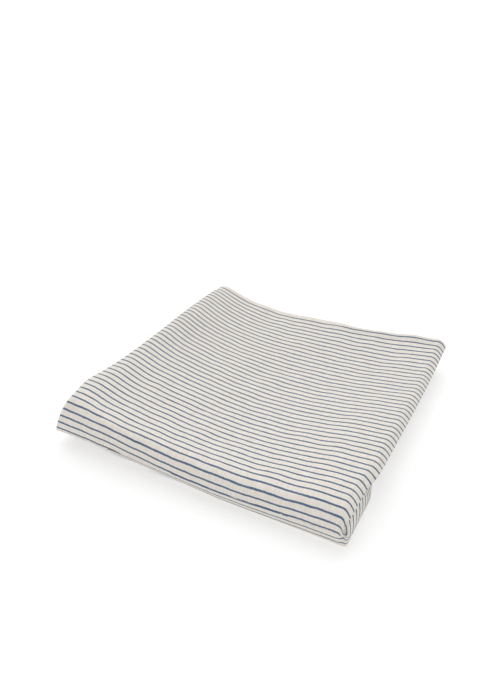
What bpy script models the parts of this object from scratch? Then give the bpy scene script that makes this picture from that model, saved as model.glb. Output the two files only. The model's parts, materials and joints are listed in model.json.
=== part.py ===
"""A long woven baby wrap sling, put away folded: sixteen layers folded once more across the width.

Frame: X runs along the stripes, Y from the last fold (front) to the hemmed edges (back), +Z is up.
The origin is at the bottom centre of the whole packet.  All sizes are in metres.

The cloth is 4.64 x 0.66 m.  It is folded in half along its length four times, which makes a strip
of sixteen layers 0.29 m wide, and then once across its width.  The cloth is split on that last fold
and at the left-hand folds into nested leaves.  Each leaf is one turn of cloth: a pass on the outer
side, the turn at the right-hand fold and the pass back on the inner side.
"""

from math import cos, exp, pi, radians, sin, sqrt

import bmesh
import bpy

# Driving dimensions
PACKET_WIDTH = 0.290  # along the stripes, one sixteenth of the cloth's length
PACKET_DEPTH = 0.3165  # from the last fold to the hemmed edges
FOLD_HEIGHT = 0.035  # height of the last fold at the middle of its length
FOLD_REACH = 0.011  # how far the last fold bulges in front of the flat layers
FOLD_BOW = 0.0035  # how much less it bulges towards its ends
BOW_MIDDLE, BOW_WIDTH = 0.03, 0.055
UPPER_NOSE, LOWER_NOSE = 0.6, 1.8  # the upper quarter of the fold is blunt, the lower one slants back
CONTACT_SKEW = 0.045  # slope of the line where the fold meets the table, up to its middle
UPPER_TURN, LOWER_TURN = 0.0125, 0.008  # how far each half's right-hand turns bulge
LEAVES = 8  # nested turns of cloth in each half
CLOTH = 0.00028  # thickness of a pressed layer
SPLIT_GAP = 0.0008  # between the two halves
HINGE_LEAD = 0.0003  # the hinge line lies this far in front of the last fold

LABEL_WIDTH = 0.030
LABEL_REACH = 0.018
MARKER_WIDTH = 0.014
MARKER_REACH = 0.009
RIBBON = 0.0006  # thickness of the folded label and marker ribbon
SEAM_GAP = 0.0004  # between a ribbon and the hem it is sewn into

# The loose layers stand higher at the folds than in the middle of the packet.
LOWEST = -0.01
LEFT_RISE, LEFT_FADE = 0.0548, 0.231
RIGHT_RISE, RIGHT_FADE = 0.0342, 0.544
FRONT_RISE, FRONT_FADE = 0.0371, 0.356
BACK_RISE, BACK_FADE = 0.0046, 0.1185
FRONT_LEFT, FRONT_RIGHT = -0.0282, -0.0247  # what the corners lose of the sum of two rises
BACK_LEFT, BACK_RIGHT = -0.0079, 0.016
CREST, CREST_ROUND = 0.0462, 0.002  # the rises level off here
# Soft swells between the rims: x, y, half widths in x and y, height
SWELLS = (
    (-0.068, -0.058, 0.050, 0.120, 0.0033),
    (0.005, 0.129, 0.068, 0.083, 0.006),
    (0.120, -0.076, 0.050, 0.114, 0.006),
)
SPLIT_DROP = 0.22  # the lower half's share of the height falls by this towards the back right corner

# Grid of each leaf
FLAT_COLUMNS, TURN_COLUMNS = 7, 4
FLAT_ROWS, FOLD_ROWS = 7, 3

# Derived places
LEFT = -PACKET_WIDTH / 2
RIGHT = PACKET_WIDTH / 2
FRONT = -(PACKET_DEPTH + LABEL_REACH) / 2
BACK = FRONT + PACKET_DEPTH
FOLD_CENTRE = FRONT + FOLD_REACH
HINGE_HEIGHT = FOLD_HEIGHT / 2

COTTON = (0.86, 0.82, 0.76)
RIBBON_BLUE = (0.16, 0.24, 0.34)
SATIN = (0.88, 0.88, 0.86)


def clear_scene():
    for obj in list(bpy.data.objects):
        bpy.data.objects.remove(obj, do_unlink=True)


def collection(name):
    made = bpy.data.collections.new(name)
    bpy.context.scene.collection.children.link(made)
    return made


def material(name, colour, roughness):
    made = bpy.data.materials.new(name)
    made.use_nodes = True
    shader = made.node_tree.nodes["Principled BSDF"]
    shader.inputs["Base Color"].default_value = (*colour, 1.0)
    shader.inputs["Roughness"].default_value = roughness
    shader.inputs["Metallic"].default_value = 0.0
    return made


def smooth(a):
    a = min(max(a, 0.0), 1.0)
    return a * a * (3 - 2 * a)


def packet_height(x, y):
    """Height of the packet's top over (x, y), as the sum of what its four rims hold up."""
    across = (x - LEFT) / PACKET_WIDTH
    along = (y - FRONT) / PACKET_DEPTH
    left = exp(-across / LEFT_FADE)
    right = exp(-(1 - across) / RIGHT_FADE)
    front = exp(-(along - 0.05) / FRONT_FADE)
    back = exp(-(1 - along) / BACK_FADE)
    height = LOWEST + LEFT_RISE * left + RIGHT_RISE * right + FRONT_RISE * front + BACK_RISE * back
    height += front * (FRONT_LEFT * left + FRONT_RIGHT * right)
    height += back * (BACK_LEFT * left + BACK_RIGHT * right)
    over = height - CREST
    height -= (sqrt(over * over + CREST_ROUND**2) + over) / 2
    for swell_x, swell_y, wide, deep, rise in SWELLS:
        height += rise * exp(-(((x - swell_x) / wide) ** 2) - ((y - swell_y) / deep) ** 2)
    return height


def split_height(x, y):
    """Height of the surface between the halves: about half the packet, and level at the last fold."""
    drop = SPLIT_DROP * smooth((x - 0.06) / 0.07) * smooth((y - FRONT - 0.03) / 0.08)
    share = smooth((y - FOLD_CENTRE) / 0.06)
    return HINGE_HEIGHT + (packet_height(x, y) * (0.5 - drop) - HINGE_HEIGHT) * share


def half_faces(upper, x, y):
    """Heights of a half's inner and outer face over (x, y)."""
    if upper:
        return split_height(x, y) + SPLIT_GAP / 2, packet_height(x, y)
    return split_height(x, y) - SPLIT_GAP / 2, 0.0


def right_edge(upper, y):
    """The halves' right-hand edges cross: the lower one shows at the front, the upper one covers it behind."""
    if upper:
        return RIGHT - 0.001 - 0.0055 * (1 - smooth((y - FRONT) / 0.075))
    return RIGHT - 0.009 * smooth((y - FRONT - 0.025) / 0.09)


def fold_front(x):
    """Where the last fold bulges to, a little further in its middle than at its ends."""
    return FRONT + FOLD_BOW * (1 - exp(-(((x - BOW_MIDDLE) / BOW_WIDTH) ** 2)))


def fold_start(upper, x):
    """Where a half's flat layers end and the last fold begins."""
    return FOLD_CENTRE if upper else FOLD_CENTRE + 0.0015 - CONTACT_SKEW * min(x, BOW_MIDDLE)


def layer_height(inner, outer, depth):
    """Height of a layer's middle, depth layers in from the outer face."""
    toward = 1 if inner > outer else -1
    thickness = abs(outer - inner)
    pitch = (thickness - CLOTH) / (2 * LEAVES - 1)
    return outer + toward * (CLOTH / 2 + depth * pitch)


def leaf_point(upper, leaf, column, row):
    """A point of a leaf's middle surface.

    Columns run along the outer pass, round the turn and back along the inner pass.
    Rows run from the hems to the last fold and a quarter of the way round it.
    """
    last = 2 * FLAT_COLUMNS + TURN_COLUMNS
    reached = min(column, last - column, FLAT_COLUMNS) / FLAT_COLUMNS
    level_x = LEFT + PACKET_WIDTH * reached**1.35
    start = fold_start(upper, level_x)
    y = BACK + (start - BACK) * min(row / FLAT_ROWS, 1.0)
    bulge = UPPER_TURN if upper else LOWER_TURN
    centre = right_edge(upper, y) - bulge
    if FLAT_COLUMNS <= column <= FLAT_COLUMNS + TURN_COLUMNS:
        inner, outer = half_faces(upper, centre, y)
        outside = layer_height(inner, outer, leaf)
        inside = layer_height(inner, outer, 2 * LEAVES - 1 - leaf)
        angle = pi * (column - FLAT_COLUMNS) / TURN_COLUMNS
        radius = abs(outside - inside) / abs(outer - inner) * bulge
        x = centre + radius * sin(angle)
        z = (outside + inside) / 2 + (outside - inside) / 2 * cos(angle)
    else:
        x = LEFT + (centre - LEFT) * reached**1.35
        depth = leaf if column < FLAT_COLUMNS else 2 * LEAVES - 1 - leaf
        z = layer_height(*half_faces(upper, x, y), depth)
    if row > FLAT_ROWS:
        base, outer = half_faces(upper, min(x, centre), y)
        angle = pi / 2 * (row - FLAT_ROWS) / FOLD_ROWS
        nose = UPPER_NOSE if upper else LOWER_NOSE
        y -= (start - fold_front(level_x)) * (z - base) / (outer - base) * sin(angle) ** nose
        z = base + (z - base) * max(cos(angle), 0.0) ** nose
    return x, y, z


def make_leaf(upper, leaf, home, cotton):
    columns = 2 * FLAT_COLUMNS + TURN_COLUMNS
    rows = FLAT_ROWS + FOLD_ROWS
    shape = bmesh.new()
    bmesh.ops.create_grid(shape, x_segments=columns, y_segments=rows, size=1.0)
    place = {v: (round((v.co.x + 1) / 2 * columns), round((v.co.y + 1) / 2 * rows)) for v in shape.verts}
    # Only the outer pass and the first half of the turn go round the last fold.
    outer_end = FLAT_COLUMNS + TURN_COLUMNS // 2
    inner = [
        face
        for face in shape.faces
        if max(place[v][1] for v in face.verts) > FLAT_ROWS and max(place[v][0] for v in face.verts) > outer_end
    ]
    bmesh.ops.delete(shape, geom=inner, context="FACES")
    for v in shape.verts:
        v.co = leaf_point(upper, leaf, *place[v])
    name = f"{'upper' if upper else 'lower'}_leaf_{leaf + 1}"
    mesh = bpy.data.meshes.new(name)
    shape.to_mesh(mesh)
    shape.free()
    mesh.materials.append(cotton)
    mesh.shade_smooth()
    obj = bpy.data.objects.new(name, mesh)
    home.objects.link(obj)
    shell = obj.modifiers.new("cloth", "SOLIDIFY")
    shell.thickness = CLOTH
    shell.offset = 0.0
    shell.use_even_offset = True
    return obj


def make_ribbon(name, centre, size, home, finish):
    """A short flat ribbon, folded double, with softened edges."""
    shape = bmesh.new()
    bmesh.ops.create_cube(shape, size=1.0)
    for v in shape.verts:
        v.co = [v.co[i] * size[i] for i in range(3)]
    mesh = bpy.data.meshes.new(name)
    shape.to_mesh(mesh)
    shape.free()
    mesh.materials.append(finish)
    mesh.shade_smooth()
    mesh.set_sharp_from_angle(angle=radians(30))
    obj = bpy.data.objects.new(name, mesh)
    obj.location = centre
    home.objects.link(obj)
    edge = obj.modifiers.new("edge", "BEVEL")
    edge.width = RIBBON / 4
    edge.segments = 1
    return obj


def make_hinge(name, y, z, home):
    pivot = bpy.data.objects.new(name, None)
    pivot.location = (0, y, z)
    pivot.empty_display_size = 0.02
    home.objects.link(pivot)
    return pivot


def hang(obj, pivot):
    obj.parent = pivot
    obj.matrix_parent_inverse = pivot.matrix_world.inverted()


def main():
    clear_scene()
    home = collection("baby_wrap_sling")
    cotton = material("striped_cotton", COTTON, 0.95)
    ribbon = material("marker_ribbon", RIBBON_BLUE, 0.8)
    satin = material("label_satin", SATIN, 0.5)
    last_fold = make_hinge("last_fold_pivot", FRONT - HINGE_LEAD, HINGE_HEIGHT, home)
    label_seam = make_hinge("label_seam_pivot", BACK + SEAM_GAP + RIBBON / 2, RIBBON, home)
    bpy.context.view_layer.update()

    for leaf in range(LEAVES):
        make_leaf(False, leaf, home, cotton)
        hang(make_leaf(True, leaf, home, cotton), last_fold)

    # The middle of the wrap's length lies at the left-hand end, two and a half layers from the split.
    marker_x = LEFT + MARKER_WIDTH
    marker_y = BACK + SEAM_GAP + MARKER_REACH / 2
    marker_size = (MARKER_WIDTH, MARKER_REACH, RIBBON)
    for upper in (False, True):
        faces = half_faces(upper, marker_x, BACK)
        height = layer_height(*faces, 2 * LEAVES - 1 - 2.5)
        name = f"{'upper' if upper else 'lower'}_middle_marker"
        marker = make_ribbon(name, (marker_x, marker_y, height), marker_size, home, ribbon)
        if upper:
            hang(marker, last_fold)

    label_length = LABEL_REACH - SEAM_GAP - RIBBON / 2
    label_y = BACK + LABEL_REACH - label_length / 2
    label = make_ribbon(
        "care_label", (0.06, label_y, RIBBON), (LABEL_WIDTH, label_length, RIBBON), home, satin
    )
    hang(label, label_seam)


main()
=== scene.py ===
"""Looks of the folded baby wrap sling: a striped cotton cloth in a packet that opens on its last fold.

X runs along the stripes, Y from the last fold (front) to the hems (back), +Z is up; all in metres.
Each half is eight turns of one long strip, so it has sixteen layers; depth 0 is its outer face and
depth 15 the face towards the other half.  Every piece of cloth is made as a grid: its columns run
through the layers (class Path) and its rows from the hems to the last fold (rows_of), and place()
puts both into space.
"""

import json
from math import pi, radians

import bpy
import numpy as np
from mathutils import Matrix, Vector


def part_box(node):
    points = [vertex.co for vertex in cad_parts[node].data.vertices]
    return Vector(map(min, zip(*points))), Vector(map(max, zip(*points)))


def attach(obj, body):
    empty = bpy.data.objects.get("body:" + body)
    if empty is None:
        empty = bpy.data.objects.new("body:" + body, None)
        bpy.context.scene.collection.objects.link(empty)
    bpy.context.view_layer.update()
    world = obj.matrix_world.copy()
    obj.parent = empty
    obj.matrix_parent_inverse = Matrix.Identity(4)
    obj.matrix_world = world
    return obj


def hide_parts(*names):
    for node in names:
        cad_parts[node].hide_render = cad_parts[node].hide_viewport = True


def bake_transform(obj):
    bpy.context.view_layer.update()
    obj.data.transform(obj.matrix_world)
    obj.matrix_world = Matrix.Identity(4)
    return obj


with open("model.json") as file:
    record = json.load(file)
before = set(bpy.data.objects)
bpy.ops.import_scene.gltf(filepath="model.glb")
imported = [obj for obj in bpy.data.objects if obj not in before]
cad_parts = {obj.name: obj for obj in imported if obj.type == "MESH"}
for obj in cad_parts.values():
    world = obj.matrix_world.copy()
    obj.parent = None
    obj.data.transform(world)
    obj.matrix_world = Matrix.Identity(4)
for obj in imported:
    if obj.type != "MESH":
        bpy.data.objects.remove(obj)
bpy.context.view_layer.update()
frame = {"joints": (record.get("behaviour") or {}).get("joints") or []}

# The packet's places, from the frame
low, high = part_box("lower_leaf_1")
LEFT, RIGHT, FRONT, BACK = low[0], high[0], low[1], high[1]
WIDTH, DEPTH = RIGHT - LEFT, BACK - FRONT
JOINTS = {joint["name"]: joint for joint in frame["joints"]}
HINGE_HEIGHT = JOINTS["last_fold"]["pos_m"][2]
FOLD_REACH = 0.011
FOLD_CENTRE = FRONT + FOLD_REACH

# The cloth
LAYERS = 16  # in each half
STRIPE_STEP = 0.0073
STRIPE_HALF = 0.00092
CLOTH_THICK = 0.00045
HEM_THICK = 0.00085
HEM_WIDTH = 0.009
HEM_STEP = 0.0006  # from the hem's thickness down to the cloth's
SPLIT_GAP = 0.0006  # between the two halves
TURN_PITCH = 0.0012  # a usual distance between layers at the folds
LEFT_BULGE = 0.45  # how far the left-hand folds stand out, as a share of a round fold
END_INSET = 0.002  # how far the cloth's free end is set in
INNER_LAG = 0.07  # the innermost cloth turns this share of the reach short of the front

# The hems: how far the layers' edges are from lining up, and how far they are askew at the back right
HEM_DRIFT, DRIFT_FAST, DRIFT_SLOW = 0.0008, 11.0, 3.7
HEM_SKEW, SKEW_FADE = 0.0025, 0.06
STRIPE_SKEW, STRIPE_SKEW_FROM, STRIPE_SKEW_FADE = 0.001, 0.08, 0.12  # the last two: shares of depth

# The last fold.  Its bow is how much less it bulges away from the middle of its length.
FRONT_PLAY = 0.0002  # how far it stands in front of the CAD's
FOLD_BOW, BOW_MIDDLE, BOW_WIDTH = 0.0017, 0.03, 0.055
NOSE_SKEW, NOSE_BACK, NOSE_LEAST = 0.061, 0.0028, -0.006  # where the upper half starts to turn down
UPPER_NOSE, LOWER_NOSE = 0.66, 1.7  # powers of its sine: blunt above, slanting back below
LEFT_ROUNDER, ROUNDER_FROM, ROUNDER_FADE = 0.34, -0.07, 0.07  # the upper quarter is rounder at the left
LEFT_EARLIER, EARLIER_FROM, EARLIER_FADE = 0.012, -0.08, 0.06  # and starts further back there
CONTACT_SKEW, CONTACT_BACK = 0.06, 0.0005  # where the lower quarter leaves the table
QUARTER_STEPS = 180  # steps in which the cloth's way round a quarter of the fold is measured

# The front left end: how it slants, how high its underside stands, and where both fade out
END_SLANT, SLANT_LEAST, SLANT_LEVEL = 0.36, 0.010, 0.032
END_LIFT = 0.0085
END_FRONT, END_FRONT_FADE = 0.05, 0.04
END_LEFT, END_LEFT_FADE = 0.03, 0.03
LIFT_LEFT, LIFT_LEFT_FADE = 0.06, 0.05

# The right-hand folds: how far they bulge, where their tip is between the half's outer and inner face,
# and how round each side of that tip is
UPPER_TURN, LOWER_TURN = 0.0092, 0.0055
UPPER_TIP_FRONT, UPPER_TIP_BACK, LOWER_TIP = 0.66, 0.28, 0.55
UPPER_ROUND, LOWER_ROUND = (2.1, 1.6), (2.5, 1.3)
# Their edge, measured from the CAD's: the upper half covers the lower one, except at the front
UPPER_EDGE, UPPER_EDGE_BACK = 0.0008, 0.0040
LOWER_EDGE, LOWER_EDGE_BACK, LOWER_BACK_FROM, LOWER_BACK_FADE = -0.0014, 0.009, -0.118, 0.05
CORNER_FROM, CORNER_FADE = -0.128, 0.032  # where that front part ends
# At the last fold both edges come to one corner, with a pinch beside it
CORNER_EDGE, CORNER_TURN = 0.0065, 0.0035
UPPER_MEET, LOWER_MEET = 2, 5  # powers of the fold's sine with which each half gets there
GROOVE_X, GROOVE_WIDTH, GROOVE_DEPTH = RIGHT - 0.0062, 0.0019, 0.0038

# The left-hand folds: their centre's place, and how far the packet spreads towards its back
LEFT_SET, LEFT_SPREAD, SPREAD_FROM, SPREAD_FADE = 0.0035, 0.0045, -0.04, 0.12
TINY = 1e-6

# What the packet's rims hold up: rise and fade of each rim, and what the corners lose of the sum
LOWEST = -0.01
LEFT_RISE, LEFT_FADE = 0.0548, 0.231
RIGHT_RISE, RIGHT_FADE = 0.0342, 0.544
FRONT_RISE, FRONT_FADE, FRONT_RIM = 0.0371, 0.356, 0.05
BACK_RISE, BACK_FADE = 0.0046, 0.1185
FRONT_LEFT, FRONT_RIGHT = -0.0282, -0.0247
BACK_LEFT, BACK_RIGHT = -0.0079, 0.016
CREST, CREST_ROUND = 0.0462, 0.002  # the rises level off here
# Soft swells and hollows: x, y, half widths in x and y, height
SWELLS = (
    (-0.068, -0.058, 0.050, 0.120, 0.0033),
    (0.005, 0.129, 0.068, 0.083, 0.006),
    (0.120, -0.076, 0.050, 0.114, 0.006),
    (0.145, 0.152, 0.024, 0.030, -0.006),
    (-0.145, 0.150, 0.025, 0.025, -0.003),
    (-0.145, -0.138, 0.035, 0.045, 0.0048),
)

# The split between the halves: the lower half's share of the height drops at the back right, and the
# split rises at the front right
SPLIT_DROP, DROP_X, DROP_X_FADE, DROP_Y, DROP_Y_FADE = 0.22, 0.06, 0.07, 0.03, 0.08
SPLIT_LIFT, LIFT_X, LIFT_X_FADE = 0.0075, 0.10, 0.03
SPLIT_FADE = 0.06  # behind the last fold, the way from the hinge's height to the split's own
RAISED_FROM = 0.80  # share of the width from where SPLIT_LIFT holds the halves up

# Shallow creases: how many, their slant, length, sway and wander, and their height per metre of length
RIPPLES, RIPPLE_SLANT, RIPPLE_HEIGHT = 26, 0.45, 0.0025
RIPPLE_LENGTH, RIPPLE_SWAY, RIPPLE_WANDER = (0.012, 0.05), (0.02, 0.08), 0.004
RIPPLE_FADE_Y, RIPPLE_FADE_X = (3, 9), (2, 6)  # how often they fade and come back, per metre

# Grids: columns of a pass, steps of a turn, rows of the flat and of a quarter of the last fold
OUTER_PASS, OUTER_RIGHT, OUTER_LEFT, OUTER_ROWS, OUTER_FOLD = 84, 24, 12, 86, 12
INNER_PASS, INNER_TURN, INNER_FIRST_TURN, INNER_ROWS, INNER_FOLD = 16, 8, 6, 30, 5
HEM_ROWS = 3  # rows of the hem along the back, which rows_of puts first
END_HEM, END_HEM_COLUMNS = 0.03, 3  # the hem at the cloth's free end, as a share of the width
ROLL_DEPTH, ROLL_SHARE, ROLL_COLUMNS = 7, 0.12, 5  # where the outermost cloth goes on into the stack
CREASE_DEPTH = 0.3  # layers deeper than this aren't joined across the last fold
INNER_START, INNER_INSET, LAST_INSET = 0.05, 0.002, END_INSET * 1.6  # of the inner strip's left edges
NEST_UP, NEST_BACK, NEST_DEPTH = 0.0009, 0.0003, 12  # how the inner layers clear the last fold

# Hem stitches and ribbons
STITCH_BACK, STITCH_PITCH, STITCH_COLUMNS = 0.0072, 0.003, 4
STITCH_END, STITCH_REACH = 0.024, 0.97  # shares of the width where the stitches start and stop
BESIDE_BACK, BESIDE_SHARE = 0.001, 0.004  # steps to a line beside the stitches, which gives their slope
THREAD_RADIUS, THREAD_SIDES = 0.00019, 6
THREAD_RISE, THREAD_SUNK, THREAD_TAPER = 1.0, -0.6, 0.6  # in thread radii: middle, ends, ends' radius
PRESSED_IN = 1.6  # thread radii that the stitches between the halves sink further into the cloth
RIBBON_THICK = 0.00026
RIBBON_ROOT = BACK - 0.0038
RIBBON_PLY = RIBBON_THICK * 0.55  # from a folded ribbon's middle to its two plies
RIBBON_STEP = 0.004  # way in which a ribbon leaves its seam's level
RIBBON_CURL, CURL_TURNS, CURL_SHIFT, CURL_FADE = 0.0004, 1.7, 0.4, 0.012
RIBBON_ROWS, RIBBON_TIP, RIBBON_COLUMNS = 22, 9, 17
MARKER_DEPTH, MARKER_SHORT, MARKER_OPEN = 12.5, 0.0002, 0.0007
LABEL_HEIGHT, LABEL_SHORT, LABEL_OPEN = 0.0009, 0.0003, 0.0005


def smooth(a):
    """An even step from 0 to 1."""
    a = np.clip(a, 0.0, 1.0)
    return a * a * (3 - 2 * a)


def packet_height(x, y):
    """Height of the packet's top face."""
    across = (x - LEFT) / WIDTH
    along = (y - FRONT) / DEPTH
    left = np.exp(-across / LEFT_FADE)
    right = np.exp(-(1 - across) / RIGHT_FADE)
    front = np.exp(-(along - FRONT_RIM) / FRONT_FADE)
    back = np.exp(-(1 - along) / BACK_FADE)
    height = LOWEST + LEFT_RISE * left + RIGHT_RISE * right + FRONT_RISE * front + BACK_RISE * back
    height = height + front * (FRONT_LEFT * left + FRONT_RIGHT * right)
    height = height + back * (BACK_LEFT * left + BACK_RIGHT * right)
    over = height - CREST
    height = height - (np.sqrt(over * over + CREST_ROUND**2) + over) / 2
    for swell_x, swell_y, wide, deep, rise in SWELLS:
        height = height + rise * np.exp(-(((x - swell_x) / wide) ** 2) - ((y - swell_y) / deep) ** 2)
    return height


def near_corner(y):
    """1 where the lower half's right-hand folds show, near the front, and 0 behind."""
    return 1 - smooth((y - CORNER_FROM) / CORNER_FADE)


def split_height(x, y):
    """Height of the face where the two halves lie on each other."""
    drop = SPLIT_DROP * smooth((x - DROP_X) / DROP_X_FADE) * smooth((y - FRONT - DROP_Y) / DROP_Y_FADE)
    share = smooth((y - FOLD_CENTRE) / SPLIT_FADE)
    lift = SPLIT_LIFT * smooth((x - LIFT_X) / LIFT_X_FADE) * near_corner(y)
    return HINGE_HEIGHT + (packet_height(x, y) * (0.5 - drop) - HINGE_HEIGHT) * share + lift


def half_faces(upper, x, y):
    """Heights of a half's inner and outer face."""
    if upper:
        return split_height(x, y) + SPLIT_GAP / 2, packet_height(x, y)
    return split_height(x, y) - SPLIT_GAP / 2, np.zeros_like(x + y)


def ripple(x, y):
    """Shallow creases of the cloth, mostly across the stripes."""
    rng = np.random.default_rng(5)
    total = np.zeros_like(x + y)
    for _ in range(RIPPLES):
        slant = rng.normal(0.0, RIPPLE_SLANT)
        wave = rng.uniform(*RIPPLE_LENGTH)
        phase = rng.uniform(0, 2 * pi)
        sway = rng.uniform(*RIPPLE_SWAY)
        wander = RIPPLE_WANDER * np.sin(2 * pi * y / sway + phase)
        path = x * np.cos(slant) + y * np.sin(slant) + wander
        fading = y * rng.uniform(*RIPPLE_FADE_Y) + x * rng.uniform(*RIPPLE_FADE_X)
        fade = 0.5 + 0.5 * np.sin(2 * pi * fading + phase)
        total = total + wave * fade * np.sin(2 * pi * path / wave + phase)
    return total * RIPPLE_HEIGHT


class Path:
    """The columns of a strip that runs through a half's layers: passes, right-hand and left-hand turns.

    Each column holds its share of the way across, its depth in layers from the outer face, how far it
    bulges past the right-hand turn's centre (right, a share of the turn's width) and past the left-hand
    fold's centre (left, in layer pitches), how far that centre is set in, its distance along the cloth
    and whether it belongs to the inner pass and its turn, which close the last fold like a pouch.
    """

    def __init__(self):
        self.columns = []

    def add(self, share, depth, step, right=0.0, left=0.0, inset=0.0, pouch=0.0):
        along = self.columns[-1][5] + step if self.columns else 0.0
        self.columns.append((share, depth, right, left, inset, along, pouch))

    def run(self, depth, start, end, steps, inset=0.0, pouch=0.0):
        """A pass at one depth, from one share of the width to another."""
        first = 1 if self.columns else 0
        step = abs(end - start) * WIDTH / steps
        for i in range(first, steps + 1):
            share = start + (end - start) * i / steps
            self.add(share, depth, step, inset=inset * (1 - share), pouch=pouch)

    def turn_right(self, depth, other, steps, pouch=0.0):
        """The turn at the right-hand edge, from one depth to another."""
        middle, reach = (depth + other) / 2, (depth - other) / 2
        size = abs(reach) / ((LAYERS - 1) / 2)
        step = abs(reach) * TURN_PITCH * pi / steps
        for i in range(1, steps + 1):
            angle = pi * i / steps
            bulge = size * np.sin(angle)
            self.add(1.0, middle + reach * np.cos(angle), step, right=bulge, pouch=pouch)

    def turn_left(self, depth, other, steps, inset=0.0):
        """The turn at the left-hand edge, from one depth to another."""
        middle, reach = (depth + other) / 2, (depth - other) / 2
        step = abs(reach) * TURN_PITCH * pi / steps
        for i in range(1, steps + 1):
            angle = pi * i / steps
            bulge = abs(reach) * np.sin(angle)
            self.add(0.0, middle + reach * np.cos(angle), step, left=bulge, inset=inset)

    def array(self):
        return np.array(self.columns).T


def left_centre(y):
    """Middle of the left-hand folds: the packet spreads a little towards its back."""
    return LEFT + LEFT_SET - LEFT_SPREAD * smooth((y - SPREAD_FROM) / SPREAD_FADE)


def right_edge(upper, y):
    """Where a half's right-hand edge is: the lower one shows at the front, and not behind."""
    if upper:
        return RIGHT + UPPER_EDGE - UPPER_EDGE_BACK * near_corner(y)
    return RIGHT + LOWER_EDGE - LOWER_EDGE_BACK * smooth((y - LOWER_BACK_FROM) / LOWER_BACK_FADE)


def back_hem(upper, x):
    """Where the hems are: the upper half's are a little askew, to the front on the right."""
    return BACK - (HEM_SKEW if upper else 0.0) * smooth(x / SKEW_FADE)


def fold_front(x):
    """Where the last fold reaches furthest forward."""
    return FRONT - FRONT_PLAY + FOLD_BOW * (1 - np.exp(-(((x - BOW_MIDDLE) / BOW_WIDTH) ** 2)))


def fold_round(upper, x):
    """Power of the sine that shapes the last fold: below 1 it is blunt, above 1 it slants back."""
    if upper:
        return UPPER_NOSE + LEFT_ROUNDER * smooth((ROUNDER_FROM - x) / ROUNDER_FADE)
    return LOWER_NOSE


def fold_start(upper, x):
    """Where a half starts to turn into the last fold."""
    if upper:
        early = LEFT_EARLIER * smooth((EARLIER_FROM - x) / EARLIER_FADE)
        return FOLD_CENTRE + np.maximum(NOSE_BACK + NOSE_SKEW * x, NOSE_LEAST) + early
    return FOLD_CENTRE - CONTACT_BACK - CONTACT_SKEW * np.minimum(x, BOW_MIDDLE)


def turned_depth(upper, depth, right, y):
    """Depth of a right-hand fold's columns, whose tip isn't midway between the half's two faces."""
    tip = LOWER_TIP
    if upper:
        tip = UPPER_TIP_BACK + (UPPER_TIP_FRONT - UPPER_TIP_BACK) * near_corner(y)
    outer_power, inner_power = UPPER_ROUND if upper else LOWER_ROUND
    round_half = np.sqrt(np.maximum(1 - right**2, 0.0)) / 2
    share = (depth / (LAYERS - 1) - 0.5 + round_half) / np.maximum(2 * round_half, TINY)
    outer = tip * right**outer_power
    inner = 1 - (1 - tip) * right**inner_power
    return (LAYERS - 1) * (outer + np.clip(share, 0, 1) * (inner - outer))


def place(upper, columns, back, angle):
    """Positions of every column at every row of one half, as an array of (row, column, xyz).

    A row is its distance from the hems (back) and its angle round the last fold.
    """
    share, depth, right, left, inset, along, pouch = (c[None, :] for c in columns)
    back, angle = back[:, None], angle[:, None]
    level_x = LEFT + WIDTH * share
    start, front = fold_start(upper, level_x), fold_front(level_x)
    run = back / (BACK - FOLD_CENTRE)
    loose = HEM_DRIFT * (np.sin(along * DRIFT_FAST + upper) * np.sin(along * DRIFT_SLOW + 1.0) - 1)
    hem = back_hem(upper, level_x)
    y = hem + (start - hem) * run + loose * (1 - run)
    # At the last fold the two halves' right-hand edges come together.
    edge = right_edge(upper, y)
    edge = edge + (RIGHT - CORNER_EDGE - edge) * np.sin(angle) ** (UPPER_MEET if upper else LOWER_MEET)
    bulge = UPPER_TURN if upper else LOWER_TURN
    bulge = bulge + (CORNER_TURN - bulge) * np.sin(angle) ** (UPPER_NOSE if upper else LOWER_MEET)
    centre = edge - bulge
    start_x = left_centre(y)
    pitch_left = (packet_height(start_x, y) / 2 - CLOTH_THICK) / (LAYERS - 1)
    x = start_x + inset + share * (centre - start_x - inset) - left * pitch_left * LEFT_BULGE
    x = x + right * bulge
    depth = turned_depth(upper, depth, right, y)
    inner, outer = half_faces(upper, np.clip(x, start_x, centre), y)
    toward = np.sign(inner - outer)
    pitch = (np.abs(outer - inner) - CLOTH_THICK) / (LAYERS - 1)
    z = outer + toward * (CLOTH_THICK / 2 + depth * pitch)
    rise = (z - inner) / (outer - inner)
    z = z + (ripple(x, y) * rise if upper else 0.0)
    # Round the last fold the cloth swings forward, and its height goes down to the seam's.
    nose = fold_round(upper, level_x)
    swing, lie = np.sin(angle) ** nose, np.maximum(np.cos(angle), 0.0) ** nose
    seam = HINGE_HEIGHT + (SPLIT_GAP / 2 if upper else -SPLIT_GAP / 2)
    z = seam + (z - seam) * lie
    reach = np.where(pouch > 0, 1 - INNER_LAG * np.clip(depth / (LAYERS - 1), 0, 1), rise)
    y = y - (start - front) * reach * swing
    if not upper:
        y = y + GROOVE_DEPTH * np.exp(-(((x - GROOVE_X) / GROOVE_WIDTH) ** 2)) * swing
    return settle(np.stack(np.broadcast_arrays(x, y, z), axis=-1))


def settle(points):
    """Slants the packet's front left corner and lifts its underside a little off the table."""
    x, y, z = points[..., 0], points[..., 1], points[..., 2]
    front = smooth((FRONT + END_FRONT - y) / END_FRONT_FADE)
    end = smooth((LEFT + END_LEFT - x) / END_LEFT_FADE) * front
    corner = smooth((LEFT + LIFT_LEFT - x) / LIFT_LEFT_FADE) * front
    moved = points.copy()
    moved[..., 0] = x + END_SLANT * end * (np.maximum(z, SLANT_LEAST) - SLANT_LEVEL)
    moved[..., 2] = z + END_LIFT * corner * np.clip(1 - z / HINGE_HEIGHT, 0, 1)
    return moved


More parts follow.
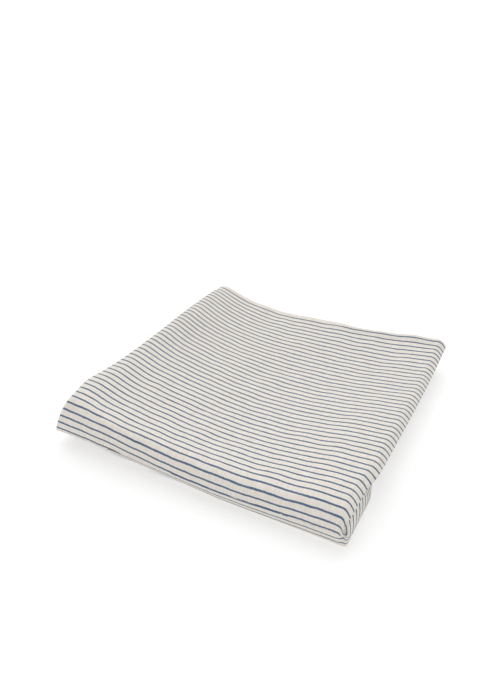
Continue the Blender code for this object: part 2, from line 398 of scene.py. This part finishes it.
def cloth_across(upper, columns, back, angle):
    """The cloth's own coordinate across its stripes, from the hem, at every row and column."""
    share, depth, pouch = columns[0][None, :], columns[1][None, :], columns[6][None, :]
    level_x = LEFT + WIDTH * share
    start = fold_start(upper, level_x)
    inner, outer = half_faces(upper, np.clip(level_x, LEFT, RIGHT - UPPER_TURN), start)
    run = back[:, None] / (BACK - FOLD_CENTRE)
    hem = back_hem(upper, level_x)
    flat = BACK - hem + run * (hem - start)
    skewed = 1 - smooth((run - STRIPE_SKEW_FROM) / STRIPE_SKEW_FADE)
    flat = flat + (BACK - hem) / HEM_SKEW * STRIPE_SKEW * skewed
    nose = fold_round(upper, level_x)
    turn = np.linspace(0, pi / 2, QUARTER_STEPS + 1)[:, None]
    reach = (start - fold_front(level_x)) * np.sin(turn) ** nose
    height = np.abs(outer - HINGE_HEIGHT) * np.maximum(np.cos(turn), 0.0) ** nose
    steps = np.hypot(np.diff(reach, axis=0), np.diff(height, axis=0))
    way = np.concatenate([np.zeros_like(start), np.cumsum(steps, axis=0)])
    row = np.rint(angle / (pi / 2) * QUARTER_STEPS).astype(int)
    inner_share = np.clip(depth / (LAYERS - 1), 0, 1) * (pouch > 0)
    return flat + way[row] * (1 - inner_share) + reach[row] * inner_share


def grid_object(name, points, across, along, thick_share, keep=None):
    """A mesh from a grid of points, with the cloth's own coordinates as its UV map.

    Points with a thick_share above a half belong to a hem, and keep picks the quads that are made.
    """
    rows, cols = points.shape[:2]
    index = np.arange(rows * cols).reshape(rows, cols)
    quads = np.stack([index[:-1, :-1], index[:-1, 1:], index[1:, 1:], index[1:, :-1]], axis=-1)
    quads = quads[keep] if keep is not None else quads.reshape(-1, 4)
    mesh = bpy.data.meshes.new(name)
    mesh.from_pydata(points.reshape(-1, 3).tolist(), [], quads.tolist())
    layer = mesh.uv_layers.new(name="cloth")
    corner = np.empty(len(mesh.loops), np.int32)
    mesh.loops.foreach_get("vertex_index", corner)
    uv = np.stack([np.broadcast_to(along, (rows, cols)), across], axis=-1).reshape(-1, 2)
    layer.data.foreach_set("uv", uv[corner].astype(np.float32).ravel())
    obj = bpy.data.objects.new(name, mesh)
    bpy.context.scene.collection.objects.link(obj)
    group = obj.vertex_groups.new(name="hem")
    hemmed = np.flatnonzero(np.broadcast_to(thick_share, (rows, cols)).ravel() > 0.5)
    group.add(hemmed.tolist(), 1.0, "REPLACE")
    return obj


def thicken(obj, plain=CLOTH_THICK, hemmed=HEM_THICK):
    """Gives the sheet its thickness, more at the hems, and applies it."""
    shell = obj.modifiers.new("cloth", "SOLIDIFY")
    shell.thickness = hemmed
    shell.offset = 0.0
    shell.vertex_group = "hem"
    shell.thickness_vertex_group = plain / hemmed
    graph = bpy.context.evaluated_depsgraph_get()
    shelled = obj.evaluated_get(graph)
    mesh = bpy.data.meshes.new_from_object(shelled, preserve_all_data_layers=True, depsgraph=graph)
    obj.modifiers.clear()
    obj.data = mesh
    mesh.shade_smooth()
    mesh.set_sharp_from_angle(angle=radians(50))
    return obj


def rows_of(steps, fold_steps):
    """Row distances and fold angles: the hem's three rows, the flat and a quarter of the last fold."""
    full = BACK - FOLD_CENTRE
    hem = [0.0, HEM_WIDTH / 2, HEM_WIDTH]
    flat = np.linspace(HEM_WIDTH + HEM_STEP, full, steps)
    back = np.concatenate([hem, flat, np.full(fold_steps, full)])
    fold = np.linspace(0, pi / 2, fold_steps + 1)[1:]
    angle = np.concatenate([np.zeros(len(hem) + steps), fold])
    return back, angle


def make_outer_cloth():
    """The outermost turn of cloth: free end, inner face, right turn, outer face, left-hand roll."""
    path = Path()
    path.run(LAYERS - 1, 0.0, END_HEM, END_HEM_COLUMNS, inset=END_INSET, pouch=1.0)
    path.run(LAYERS - 1, END_HEM, 1.0, OUTER_PASS, inset=END_INSET, pouch=1.0)
    path.turn_right(LAYERS - 1, 0, OUTER_RIGHT, pouch=1.0)
    path.run(0, 1.0, 0.0, OUTER_PASS)
    path.turn_left(0, ROLL_DEPTH, OUTER_LEFT)
    path.run(ROLL_DEPTH, 0.0, ROLL_SHARE, ROLL_COLUMNS)
    columns = path.array()
    back, angle = rows_of(OUTER_ROWS, OUTER_FOLD)
    upper = place(True, columns, back, angle)
    lower = place(False, columns, back, angle)
    across = cloth_across(True, columns, back, angle)
    under = cloth_across(False, columns, back, angle)
    under = across[-1:] + under[-1:] - under[::-1]
    lower = lower[::-1]
    along = columns[5][None, :]
    hem = np.zeros(upper.shape[:2])
    hem[:HEM_ROWS] = 1
    hem[:, : END_HEM_COLUMNS + 1] = 1
    upper_cloth = grid_object("upper_outer_cloth", upper, across, along, hem)
    lower_cloth = grid_object("lower_outer_cloth", lower, under, along, hem[::-1])
    # The crease itself joins the halves, except where the cloth's layers inside it are apart.
    crease = np.stack([upper[-1], lower[0]])
    crease_across = np.stack([across[-1], under[0]])
    apart = (columns[1] > CREASE_DEPTH) & (columns[6] == 0)
    keep = ~(apart[:-1] | apart[1:])[None, :]
    plain = np.zeros(crease.shape[:2])
    creased = grid_object("last_fold_crease", crease, crease_across, along, plain, keep)
    return thicken(upper_cloth), thicken(lower_cloth), thicken(creased)


def make_inner_layers(upper):
    """The fourteen layers inside a half, as the one strip that they are."""
    # The depths in the order in which the strip passes them, folded in half again and again
    order = [7, 8, 11, 4, 3, 12, 13, 2, 5, 10, 9, 6, 1, 14]
    path = Path()
    path.run(order[0], INNER_START, 1.0, INNER_PASS)
    path.turn_right(order[0], order[1], INNER_FIRST_TURN)
    for i in range(1, len(order) - 1, 2):
        here, there = order[i], order[i + 1]
        inset = 0.0 if max(here, there) < LAYERS // 2 else INNER_INSET * abs(here - there) ** 0.5
        path.run(here, 1.0, 0.0, INNER_PASS, inset=inset)
        path.turn_left(here, there, INNER_TURN, inset=inset)
        path.run(there, 0.0, 1.0, INNER_PASS, inset=inset)
        path.turn_right(there, order[i + 2] if i + 2 < len(order) else there, INNER_TURN)
    path.run(order[-1], 1.0, 0.0, INNER_PASS, inset=LAST_INSET)
    columns = path.array()
    back, angle = rows_of(INNER_ROWS, INNER_FOLD)
    points = place(upper, columns, back, angle)
    # The layers stop just short of the cloth that closes the last fold.
    side = 1 if upper else -1
    points[angle > 0, :, 2] += side * NEST_UP * np.sin(angle[angle > 0])[:, None]
    points[..., 1] += NEST_BACK * np.sin(angle)[:, None]
    across = cloth_across(upper, columns, back, angle)
    # Round the last fold they leave out their turns, and the layers that would come through its cloth.
    left_out = (columns[2] > 0) | (columns[1] > NEST_DEPTH)
    if upper:
        left_out = left_out | (columns[0] > RAISED_FROM)
    keep = np.ones((points.shape[0] - 1, points.shape[1] - 1), bool)
    folded = (angle > 0)[1:]
    keep[np.ix_(folded, left_out[:-1] | left_out[1:])] = False
    hem = np.zeros(points.shape[:2])
    hem[:HEM_ROWS] = 1
    name = "upper_inner_layers" if upper else "lower_inner_layers"
    return thicken(grid_object(name, points, across, columns[5][None, :], hem, keep))


def stitch_rings(line, beside, outward, sunk=0.0):
    """Rings of short threads along a line on the hem, four to a stitch, their ends sunk into it."""
    ahead = np.gradient(line, axis=0)
    ahead = ahead / np.linalg.norm(ahead, axis=1, keepdims=True)
    normal = np.cross(ahead, beside - line)
    normal = normal / np.linalg.norm(normal, axis=1, keepdims=True)
    normal = normal * np.sign(normal[:, 2:] * outward)
    side = np.cross(normal, ahead)
    stitches = (len(line) - 1) // STITCH_COLUMNS
    picked = (np.arange(stitches) * STITCH_COLUMNS)[:, None] + np.arange(STITCH_COLUMNS)
    rise = np.array([THREAD_SUNK, THREAD_RISE, THREAD_RISE, THREAD_SUNK])
    lift = HEM_THICK / 2 + THREAD_RADIUS * (rise - sunk)
    radius = THREAD_RADIUS * np.array([THREAD_TAPER, 1.0, 1.0, THREAD_TAPER])
    turn = np.linspace(0, 2 * pi, THREAD_SIDES, endpoint=False)[:, None]
    middle = line[picked] + normal[picked] * lift[None, :, None]
    up, over = normal[picked][:, :, None], side[picked][:, :, None]
    out = up * np.cos(turn) + over * np.sin(turn)
    return middle[:, :, None] + out * radius[None, :, None, None]


def make_stitches(upper):
    """A half's hem stitches: along the back on its outer and inner face, and along the free end."""
    backs, flat = np.array([STITCH_BACK, STITCH_BACK + BESIDE_BACK]), np.zeros(2)
    facing = 1 if upper else -1
    rings = []
    for depth, outward, pouch in ((0, facing, 0.0), (LAYERS - 1, -facing, 1.0)):
        path = Path()
        steps = STITCH_COLUMNS * int(WIDTH / STITCH_PITCH)
        path.run(depth, STITCH_END, STITCH_REACH, steps, inset=END_INSET * pouch, pouch=pouch)
        line, beside = place(upper, path.array(), backs, flat)
        rings.append(stitch_rings(line, beside, outward, PRESSED_IN * pouch))
    path = Path()
    path.run(LAYERS - 1, STITCH_END, STITCH_END + BESIDE_SHARE, 1, inset=END_INSET, pouch=1.0)
    run = np.linspace(STITCH_BACK, BACK - FOLD_CENTRE, STITCH_COLUMNS * int(DEPTH / STITCH_PITCH))
    end = place(upper, path.array(), run, np.zeros_like(run))
    rings.append(stitch_rings(end[:, 0], end[:, 1], -facing, PRESSED_IN))
    rings = np.concatenate(rings)
    index = np.arange(rings[..., 0].size).reshape(rings.shape[:3])
    turned = np.roll(index, -1, axis=2)
    quads = np.stack([index[:, :-1], index[:, 1:], turned[:, 1:], turned[:, :-1]], axis=-1)
    caps = index[:, 0, ::-1].tolist() + index[:, -1].tolist()
    name = "upper_hem_stitches" if upper else "lower_hem_stitches"
    mesh = bpy.data.meshes.new(name)
    mesh.from_pydata(rings.reshape(-1, 3).tolist(), [], quads.reshape(-1, 4).tolist() + caps)
    mesh.shade_smooth()
    obj = bpy.data.objects.new(name, mesh)
    bpy.context.scene.collection.objects.link(obj)
    return obj


def make_loop(name, middle_x, width, tip_y, root_z, end_z, opening):
    """A ribbon folded in two: both ends are sewn in at the hem, and the fold stands a little open."""
    way = np.linspace(0, 1, RIBBON_ROWS)
    y = RIBBON_ROOT + (tip_y - RIBBON_ROOT) * way
    level = root_z + (end_z - root_z) * smooth((y - RIBBON_ROOT) / RIBBON_STEP)
    gap = RIBBON_PLY + opening * way**2 * (1 - way**6)
    turn = np.linspace(pi / 2, -pi / 2, RIBBON_TIP)[1:-1]
    path_y = np.concatenate([y, tip_y + RIBBON_PLY * np.cos(turn), y[::-1]])
    path_z = np.concatenate([level + gap, end_z + RIBBON_PLY * np.sin(turn), (level - gap)[::-1]])
    over = np.linspace(-0.5, 0.5, RIBBON_COLUMNS)
    wave = RIBBON_CURL * np.sin(over * pi * CURL_TURNS + CURL_SHIFT)[None, :]
    curl = wave * smooth((path_y - RIBBON_ROOT - RIBBON_STEP) / CURL_FADE)[:, None]
    points = np.empty((len(path_y), len(over), 3))
    points[..., 0] = middle_x + over * width
    points[..., 1] = path_y[:, None]
    points[..., 2] = path_z[:, None] + curl
    length = np.concatenate([[0], np.cumsum(np.hypot(np.diff(path_y), np.diff(path_z)))])
    across = np.broadcast_to(length[:, None], points.shape[:2])
    obj = grid_object(name, points, across, (over * width)[None, :], np.zeros(points.shape[:2]))
    return thicken(obj, RIBBON_THICK, RIBBON_THICK)


def make_marker(upper):
    """A middle marker, sewn in near the half's face towards the other one."""
    name = "upper_marker_ribbon" if upper else "lower_marker_ribbon"
    low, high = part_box("upper_middle_marker" if upper else "lower_middle_marker")
    middle, width = (low[0] + high[0]) / 2, high[0] - low[0]
    path = Path()
    path.add((middle - LEFT) / WIDTH, MARKER_DEPTH, 0.0)
    z = place(upper, path.array(), np.zeros(1), np.zeros(1))[0, 0, 2]
    return make_loop(name, middle, width, high[1] - MARKER_SHORT, z, z, MARKER_OPEN)


def make_label():
    low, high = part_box("care_label")
    middle, width = (low[0] + high[0]) / 2, high[0] - low[0]
    tip = high[1] - LABEL_SHORT
    return make_loop("label_ribbon", middle, width, tip, LABEL_HEIGHT, LABEL_HEIGHT, LABEL_OPEN)


upper_outer, lower_outer, creased = make_outer_cloth()
upper_inner, lower_inner = make_inner_layers(True), make_inner_layers(False)
upper_stitches, lower_stitches = make_stitches(True), make_stitches(False)
upper_marker, lower_marker = make_marker(True), make_marker(False)
label = make_label()


class Nodes:
    """Short calls for building a material's node tree."""

    def __init__(self, name):
        self.material = bpy.data.materials.new(name)
        self.material.use_nodes = True
        self.tree = self.material.node_tree
        self.shader = self.tree.nodes["Principled BSDF"]

    def node(self, kind, **settings):
        made = self.tree.nodes.new(kind)
        for key, value in settings.items():
            setattr(made, key, value)
        return made

    def link(self, source, target):
        self.tree.links.new(source, target)

    def math(self, operation, first, second=None, third=None, clamp=False):
        """A math node from sockets or plain numbers."""
        made = self.node("ShaderNodeMath", operation=operation, use_clamp=clamp)
        for socket, value in zip(made.inputs, (first, second, third)):
            if value is None:
                continue
            if isinstance(value, (int, float)):
                socket.default_value = value
            else:
                self.link(value, socket)
        return made.outputs[0]

    def noise(self, vector, scale, detail=2.0, rough=0.5):
        made = self.node("ShaderNodeTexNoise")
        made.inputs["Scale"].default_value = scale
        made.inputs["Detail"].default_value = detail
        made.inputs["Roughness"].default_value = rough
        self.link(vector, made.inputs["Vector"])
        return made.outputs["Fac"]

    def stretched(self, x, y, x_scale, y_scale):
        """A vector whose two parts are scaled by themselves, so that noise on it makes streaks."""
        made = self.node("ShaderNodeCombineXYZ")
        self.link(self.math("MULTIPLY", x, x_scale), made.inputs[0])
        self.link(self.math("MULTIPLY", y, y_scale), made.inputs[1])
        return made.outputs[0]

    def mix(self, share, first, second):
        """A colour between two; sockets 6 and 7 are the mix node's colours."""
        made = self.node("ShaderNodeMix", data_type="RGBA")
        sockets = (made.inputs[0], made.inputs[6], made.inputs[7])
        for socket, value in zip(sockets, (share, first, second)):
            if isinstance(value, tuple):
                socket.default_value = (*value, 1.0)
            elif isinstance(value, (int, float)):
                socket.default_value = value
            else:
                self.link(value, socket)
        return made.outputs[2]

    def step(self, value, low, high):
        """An even step from 0 at low to 1 at high."""
        made = self.node("ShaderNodeMapRange", interpolation_type="SMOOTHSTEP")
        made.inputs["From Min"].default_value = low
        made.inputs["From Max"].default_value = high
        self.link(value, made.inputs["Value"])
        return made.outputs["Result"]


CREAM, CREAM_SHADE, CREAM_LIGHT = (0.765, 0.722, 0.66), (0.69, 0.635, 0.57), (0.83, 0.80, 0.75)
STRIPE, STRIPE_PALE = (0.062, 0.105, 0.175), (0.125, 0.19, 0.285)
MARKER_BLUE, MARKER_PALE = (0.13, 0.20, 0.29), (0.20, 0.29, 0.40)
SATIN, SATIN_LIGHT = (0.82, 0.82, 0.80), (0.90, 0.90, 0.885)
TWILL_ROUGH, TWILL_RIB, TWILL_SLANT, TWILL_DEPTH = 0.75, 0.0007, 1.0, 0.0001
SATIN_ROUGH, SATIN_RIB, SATIN_SLANT, SATIN_DEPTH = 0.36, 0.0003, 0.0, 0.00002
RIBBON_THREADS, RIBBON_TONE, RIBBON_SHEEN = (3000.0, 260.0), (0.25, 0.95), 0.15
RIB_SHARE, THREADS_SHARE, THREADS_ROUGH = 0.35, 0.8, 0.15
THREAD_PITCH = 0.00055
PLAIN_EDGE, PLAIN_EDGE_SOFT = 0.0018, 0.0005  # no dyed thread lies this near the hem's edge
# Noise on the cloth: turns per metre along the stripes and across them
SWAY, JOG, WIDEN = (60.0, 90.0), (420.0, 160.0), (700.0, 300.0)
SLUB_LONG, SLUB_SHORT = 1900.0, 55.0
TONE, HATCH, CRINKLE = (28.0, 28.0), (620.0, 70.0), (260.0, 110.0)
# How far sway and jog shift a stripe, what brings it back to the middle, and how much it narrows
SWAY_SHIFT, JOG_SHIFT, SHIFT_BACK, NARROW, STRIPE_SOFT = 0.0016, 0.0006, -0.0011, 0.0003, 0.0003
# Where noise turns from the first colour to the second, and how much the hatch does
SLUB_STEP, TONE_STEP, DYE_STEP = (0.35, 0.65), (0.3, 0.7), (0.3, 0.7)
HATCH_DARK, HATCH_LIGHT, HATCH_SHARE = (0.58, 0.40), (0.5, 0.68), 0.35
COTTON_SPECULAR, COTTON_SHEEN, SHEEN_ROUGH = 0.25, 0.12, 0.5
COTTON_ROUGH, SLUB_ROUGH = 0.84, 0.12
# Heights of the relief's parts beside the slubs', and its depth in metres
WEAVE_RELIEF, CRINKLE_RELIEF, HATCH_RELIEF, COTTON_DEPTH = 0.35, 1.6, 0.6, 0.00025
CLOTH_BUMP, THREAD_BUMP = 0.5, 0.4  # bump strengths
FIBRES, THREAD_ROUGH, FIBRE_ROUGH, THREAD_SHEEN, THREAD_DEPTH = 2600.0, 0.6, 0.2, 0.2, 0.0001


def add_bump(n, height, strength, distance):
    """Relief from a height, at a depth in metres."""
    bump = n.node("ShaderNodeBump")
    bump.inputs["Strength"].default_value = strength
    bump.inputs["Distance"].default_value = distance
    n.link(height, bump.inputs["Height"])
    n.link(bump.outputs[0], n.shader.inputs["Normal"])


def cloth_place(n):
    """The two parts of a piece's own coordinates, along the stripes and across them."""
    split = n.node("ShaderNodeSeparateXYZ")
    n.link(n.node("ShaderNodeUVMap", uv_map="cloth").outputs[0], split.inputs[0])
    return split.outputs[0], split.outputs[1]


def cotton_material():
    """Woven cotton: cream threads with thin dyed stripes, read from the cloth's own coordinates."""
    n = Nodes("striped_cotton")
    along, across = cloth_place(n)

    def streaks(scales, detail):
        return n.noise(n.stretched(along, across, *scales), 1.0, detail=detail)

    # The dyed threads wander a little, in long sways and short jogs.
    moved = n.math("MULTIPLY_ADD", streaks(SWAY, 2.0), SWAY_SHIFT, across)
    moved = n.math("MULTIPLY_ADD", streaks(JOG, 1.0), JOG_SHIFT, moved)
    moved = n.math("ADD", moved, SHIFT_BACK)
    # Distance from the nearest stripe's middle line
    turns = n.math("DIVIDE", moved, STRIPE_STEP)
    near = n.math("ROUND", turns)
    apart = n.math("ABSOLUTE", n.math("SUBTRACT", turns, near))
    apart = n.math("MULTIPLY", apart, STRIPE_STEP)
    apart = n.math("MULTIPLY_ADD", streaks(WIDEN, 1.0), NARROW, apart)
    outside = n.step(apart, STRIPE_HALF, STRIPE_HALF + STRIPE_SOFT)
    stripe = n.math("SUBTRACT", 1.0, outside, clamp=True)
    stripe = n.math("MULTIPLY", stripe, n.step(across, PLAIN_EDGE, PLAIN_EDGE + PLAIN_EDGE_SOFT))
    # Threads of both directions
    warp = n.math("SINE", n.math("MULTIPLY", across, 2 * pi / THREAD_PITCH))
    weft = n.math("SINE", n.math("MULTIPLY", along, 2 * pi / THREAD_PITCH))
    weave = n.math("MULTIPLY", warp, weft)
    slub_along = streaks((SLUB_SHORT, SLUB_LONG), 2.0)
    slub_across = streaks((SLUB_LONG, SLUB_SHORT), 2.0)
    slubs = n.math("MULTIPLY_ADD", slub_along, 0.5, n.math("MULTIPLY", slub_across, 0.5))
    tone = streaks(TONE, 3.0)
    ground = n.mix(n.step(slubs, *SLUB_STEP), CREAM_SHADE, CREAM_LIGHT)
    ground = n.mix(n.step(tone, *TONE_STEP), ground, CREAM)
    # Faint streaks across the stripes, darker and lighter
    hatch = streaks(HATCH, 1.5)
    darker = n.math("MULTIPLY", n.step(hatch, *HATCH_DARK), HATCH_SHARE)
    ground = n.mix(darker, ground, CREAM_SHADE)
    lighter = n.math("MULTIPLY", n.step(hatch, *HATCH_LIGHT), HATCH_SHARE)
    ground = n.mix(lighter, ground, CREAM_LIGHT)
    dyed = n.mix(n.step(slubs, *DYE_STEP), STRIPE, STRIPE_PALE)
    n.link(n.mix(stripe, ground, dyed), n.shader.inputs["Base Color"])
    n.link(n.math("MULTIPLY_ADD", slubs, SLUB_ROUGH, COTTON_ROUGH), n.shader.inputs["Roughness"])
    n.shader.inputs["Specular IOR Level"].default_value = COTTON_SPECULAR
    n.shader.inputs["Sheen Weight"].default_value = COTTON_SHEEN
    n.shader.inputs["Sheen Roughness"].default_value = SHEEN_ROUGH
    relief = n.math("MULTIPLY_ADD", weave, WEAVE_RELIEF, slubs)
    relief = n.math("MULTIPLY_ADD", streaks(CRINKLE, 3.0), CRINKLE_RELIEF, relief)
    relief = n.math("MULTIPLY_ADD", hatch, HATCH_RELIEF, relief)
    add_bump(n, relief, CLOTH_BUMP, COTTON_DEPTH)
    return n.material


def thread_material():
    """Cream sewing thread, whose fibres vary in tone and stand out a little."""
    n = Nodes("sewing_thread")
    fibres = n.noise(n.node("ShaderNodeTexCoord").outputs["Object"], FIBRES, detail=2.0)
    n.link(n.mix(n.step(fibres, *SLUB_STEP), CREAM_SHADE, CREAM_LIGHT), n.shader.inputs["Base Color"])
    n.link(n.math("MULTIPLY_ADD", fibres, FIBRE_ROUGH, THREAD_ROUGH), n.shader.inputs["Roughness"])
    n.shader.inputs["Sheen Weight"].default_value = THREAD_SHEEN
    add_bump(n, fibres, THREAD_BUMP, THREAD_DEPTH)
    return n.material


def ribbon_material(name, base, light, rough, rib, slant, depth):
    """A woven ribbon: fine ribs at a slant, with threads that vary a little."""
    n = Nodes(name)
    along, across = cloth_place(n)
    lines = n.math("MULTIPLY_ADD", along, slant, across)
    ribs = n.math("SINE", n.math("MULTIPLY", lines, 2 * pi / rib))
    ribs = n.math("MULTIPLY_ADD", ribs, 0.5, 0.5)
    threads = n.noise(n.stretched(along, across, *RIBBON_THREADS), 1.0, detail=2.0)
    tone = n.math("MULTIPLY_ADD", ribs, RIB_SHARE, n.math("MULTIPLY", threads, THREADS_SHARE))
    n.link(n.mix(n.step(tone, *RIBBON_TONE), base, light), n.shader.inputs["Base Color"])
    n.link(n.math("MULTIPLY_ADD", threads, THREADS_ROUGH, rough), n.shader.inputs["Roughness"])
    n.shader.inputs["Sheen Weight"].default_value = RIBBON_SHEEN
    add_bump(n, tone, CLOTH_BUMP, depth)
    return n.material


def set_material(obj, material):
    obj.data.materials.clear()
    obj.data.materials.append(material)


cotton = cotton_material()
for cloth in (upper_outer, lower_outer, creased, upper_inner, lower_inner):
    set_material(cloth, cotton)

thread = thread_material()
for run in (upper_stitches, lower_stitches):
    set_material(run, thread)
twill = ribbon_material(
    "marker_ribbon", MARKER_BLUE, MARKER_PALE, TWILL_ROUGH, TWILL_RIB, TWILL_SLANT, TWILL_DEPTH
)
satin = ribbon_material(
    "label_satin", SATIN, SATIN_LIGHT, SATIN_ROUGH, SATIN_RIB, SATIN_SLANT, SATIN_DEPTH
)
for ribbon in (upper_marker, lower_marker):
    set_material(ribbon, twill)
set_material(label, satin)

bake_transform(creased)
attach(upper_outer, "upper_half")
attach(lower_outer, "lower_half")
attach(upper_inner, "upper_half")
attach(lower_inner, "lower_half")
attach(upper_stitches, "upper_half")
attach(lower_stitches, "lower_half")
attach(upper_marker, "upper_half")
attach(lower_marker, "lower_half")
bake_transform(label)
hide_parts("upper_middle_marker")
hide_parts("lower_middle_marker")
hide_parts("care_label")
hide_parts("upper_leaf_1")
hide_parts("lower_leaf_1")
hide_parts(*[f"upper_leaf_{i}" for i in range(2, 9)])
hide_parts(*[f"lower_leaf_{i}" for i in range(2, 9)])


FLOOR_SIZE = 400.0
FLOOR_GREY, FLOOR_GLOW, FLOOR_ROUGH = 0.60, 0.44, 0.9
SKY_STRENGTH = 0.86
LAMP_PLACE, LAMP_STRENGTH, LAMP_SOFTNESS = (-0.7, 1.0, 1.5), 1.0, 70  # softness in degrees
SENSOR_WIDTH, LENS = 36.0, 31.89  # millimetres
CAMERA_PLACE = (0.2353, BACK - 0.6472, 0.3742)
CAMERA_TILT, CAMERA_TURN = 60.26, 27.84  # degrees up from straight down, and to the left


def studio():
    """A white floor that runs to the horizon, a broad lamp and an even white sky."""
    bpy.ops.mesh.primitive_plane_add(size=FLOOR_SIZE, location=(0, 0, 0))
    floor = bpy.context.object
    floor.name = "floor"
    n = Nodes("floor_white")
    n.shader.inputs["Base Color"].default_value = (FLOOR_GREY, FLOOR_GREY, FLOOR_GREY, 1.0)
    n.shader.inputs["Emission Color"].default_value = (1.0, 1.0, 1.0, 1.0)
    n.shader.inputs["Emission Strength"].default_value = FLOOR_GLOW
    n.shader.inputs["Roughness"].default_value = FLOOR_ROUGH
    n.shader.inputs["Specular IOR Level"].default_value = 0.0
    set_material(floor, n.material)
    world = bpy.data.worlds.new("studio")
    bpy.context.scene.world = world
    world.use_nodes = True
    sky = world.node_tree.nodes["Background"]
    sky.inputs["Color"].default_value = (1.0, 1.0, 1.0, 1.0)
    sky.inputs["Strength"].default_value = SKY_STRENGTH
    lamp_data = bpy.data.lights.new("soft_light", "SUN")
    lamp_data.angle = radians(LAMP_SOFTNESS)
    lamp_data.energy = LAMP_STRENGTH
    lamp = bpy.data.objects.new("soft_light", lamp_data)
    bpy.context.scene.collection.objects.link(lamp)
    lamp.location = LAMP_PLACE
    lamp.rotation_euler = (-Vector(LAMP_PLACE)).to_track_quat("-Z", "Y").to_euler()
    bpy.context.scene.view_settings.view_transform = "Standard"


def camera():
    """The viewing angle: from the front right, looking down at thirty degrees."""
    data = bpy.data.cameras.new("camera")
    data.sensor_width = SENSOR_WIDTH
    data.lens = LENS
    cam = bpy.data.objects.new("camera", data)
    bpy.context.scene.collection.objects.link(cam)
    cam.location = CAMERA_PLACE
    cam.rotation_euler = (radians(CAMERA_TILT), 0, radians(CAMERA_TURN))
    bpy.context.scene.camera = cam


studio()
camera()
